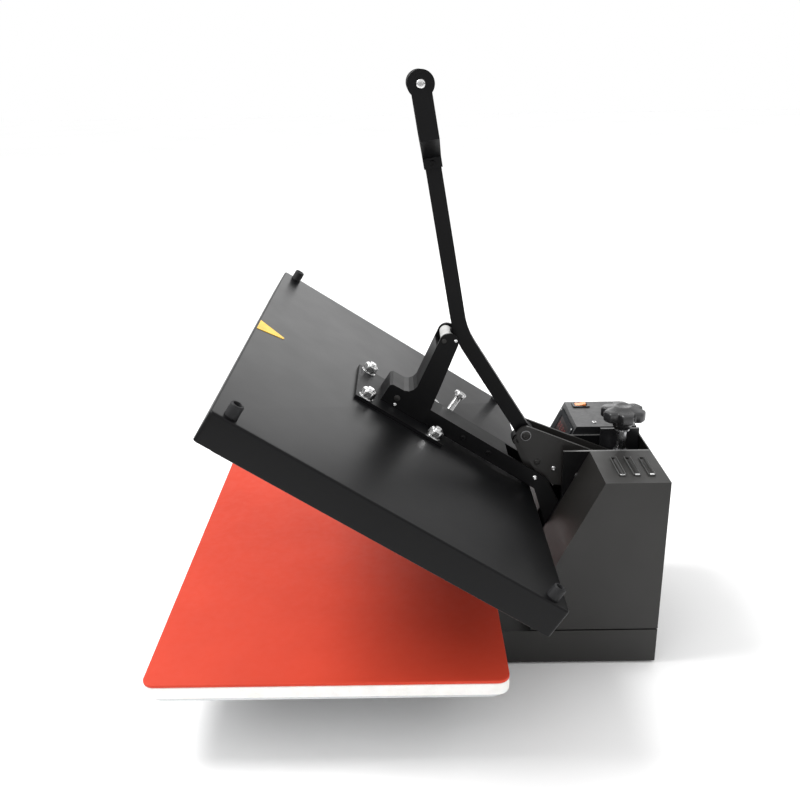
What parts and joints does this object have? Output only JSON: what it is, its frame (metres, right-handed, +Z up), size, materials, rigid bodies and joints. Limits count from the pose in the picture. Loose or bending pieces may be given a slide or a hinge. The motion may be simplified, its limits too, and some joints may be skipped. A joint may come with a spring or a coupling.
{
  "type": "heat press",
  "caption": "Clamshell heat press with a lever-operated heated platen over a red silicone mat, a pressure knob and a controller at the rear.",
  "frame": {"origin": "centre of the bounding box's underside, on the surface that the feet stand on", "axes": "+Z up; -Y towards the operator; +X to the operator's right, along the main hinge"},
  "size_m": [0.62, 0.612, 0.7272],
  "materials": {
    "black_frame": "semi-gloss black powder coat",
    "black_sheet": "satin black powder coat on folded sheet",
    "black_cover": "semi-gloss black powder coat, fine orange peel",
    "rocker_steel": "satin dark paint",
    "bright_steel": "bright zinc and chrome plating",
    "aluminium_plate": "milled and coated",
    "black_rubber": "matt rubber",
    "black_plastic": "moulded plastic",
    "red_silicone": "matt silicone rubber sheet",
    "white_foam": "closed-cell foam edge",
    "panel_grey": "printed film panel with no lettering",
    "display_dark": "dark tinted window",
    "button_red": "gloss",
    "button_white": "gloss",
    "orange_plastic": "translucent gloss",
    "circuit_board": "solder mask",
    "insulation_wool": "mineral fibre board",
    "yellow_vinyl": "vinyl sticker",
    "bronze": "sintered bronze",
    "white_nylon": "nylon"
  },
  "bodies": {
    "frame": {"base_frame": "black_frame", "base_crossbars": "black_frame", "rubber_feet": "black_rubber", "foot_screws": "bright_steel", "support_channels": "black_frame", "levelling_studs": "bright_steel", "levelling_nuts": "bright_steel", "lower_plate": "aluminium_plate", "foam_pad": "white_foam", "silicone_sheet": "red_silicone", "frame_plates": "black_frame", "right_housing": "black_sheet", "left_housing": "black_sheet", "rear_panel": "black_sheet", "thrust_block": "black_frame", "main_hinge_pin": "bright_steel", "rocker_pivot_pin": "bright_steel", "wiring_duct": "black_plastic", "controller_housing": "black_plastic", "controller_panel": "panel_grey", "controller_display": "display_dark", "controller_screws": "bright_steel", "switch_bezel": "black_plastic", "power_inlet": "black_plastic", "fuse_holder": "black_plastic", "control_board": "circuit_board", "housing_gland": "black_plastic", "heater_cable": "black_rubber"},
    "platen": {"platen_cover": "black_cover", "platen_insulation": "insulation_wool", "heating_plate": "aluminium_plate", "corner_posts": "black_rubber", "corner_screws": "bright_steel", "centre_marker": "yellow_vinyl", "mount_plate": "black_frame", "mount_nuts": "bright_steel", "sensor_bolt": "bright_steel", "arm_plates": "black_frame", "arm_web": "black_frame", "arm_screws": "bright_steel", "hinge_sleeve": "bronze", "link_anchor_pin": "bright_steel", "post_bracket": "black_frame", "post_roller": "white_nylon", "cable_gland": "black_plastic"},
    "lever": {"lever_bar": "black_frame", "lever_fork": "black_frame", "lever_grip": "black_rubber", "grip_bolt": "bright_steel", "lever_pins": "bright_steel"},
    "rocker": {"rocker_cheeks": "rocker_steel", "rocker_bolts": "bright_steel"},
    "link": {"toggle_links": "bright_steel"},
    "knob": {"pressure_rod": "bright_steel", "pressure_knob": "black_plastic"},
    "trunnion": {"trunnion_nut": "bright_steel"},
    "set_button": {"button_set": "button_red"},
    "up_button": {"button_up": "button_white"},
    "down_button": {"button_down": "button_white"},
    "switch_rocker": {"power_switch": "orange_plastic"}
  },
  "joints": [
    {"name": "platen_hinge", "type": "hinge", "parent": "frame", "child": "platen", "pos_m": [0, 0.21, 0.094], "axis": [1, 0, 0], "range_deg": [0, 33], "deforming": ["heater_cable"]},
    {"name": "knob_turn", "type": "hinge", "parent": "frame", "child": "knob", "pos_m": [0, 0.271, 0.29], "axis": [0, 0, 1], "range_deg": [0, 360]},
    {"name": "rocker_tilt", "type": "hinge", "parent": "frame", "child": "rocker", "pos_m": [0, 0.212, 0.222], "axis": [1, 0, 0], "range_deg": [-1.75, 0]},
    {"name": "trunnion_slide", "type": "slide", "parent": "frame", "child": "trunnion", "axis": [0, 0, 1], "range_m": [-0.0018, 0]},
    {"name": "lever_swing", "type": "hinge", "parent": "rocker", "child": "lever", "pos_m": [0, 0.142, 0.275], "axis": [1, 0, 0], "range_deg": [0, 58.5]},
    {"name": "link_swing", "type": "hinge", "parent": "lever", "child": "link", "pos_m": [0, 0.13373, 0.26631], "axis": [1, 0, 0], "range_deg": [-69, 0]},
    {"name": "set_press", "type": "slide", "parent": "frame", "child": "set_button", "axis": [0, 0.8966, -0.4429], "range_m": [0, 0.0012], "stiffness_N_per_m": 600, "springref_m": -0.0008},
    {"name": "up_press", "type": "slide", "parent": "frame", "child": "up_button", "axis": [0, 0.8966, -0.4429], "range_m": [0, 0.0012], "stiffness_N_per_m": 600, "springref_m": -0.0008},
    {"name": "down_press", "type": "slide", "parent": "frame", "child": "down_button", "axis": [0, 0.8966, -0.4429], "range_m": [0, 0.0012], "stiffness_N_per_m": 600, "springref_m": -0.0008},
    {"name": "switch_rock", "type": "hinge", "parent": "frame", "child": "switch_rocker", "pos_m": [-0.112, 0.238, 0.2655], "axis": [1, 0, 0], "range_deg": [-18, 0]}
  ],
  "couplings": [
    {"joint": "lever_swing", "follows": "platen_hinge", "ratio": 1.75},
    {"joint": "link_swing", "follows": "platen_hinge", "ratio": -2.053},
    {"joint": "trunnion_slide", "follows": "knob_turn", "m_per_rad": -0.00027852},
    {"joint": "rocker_tilt", "follows": "knob_turn", "ratio": -0.0047207}
  ]
}
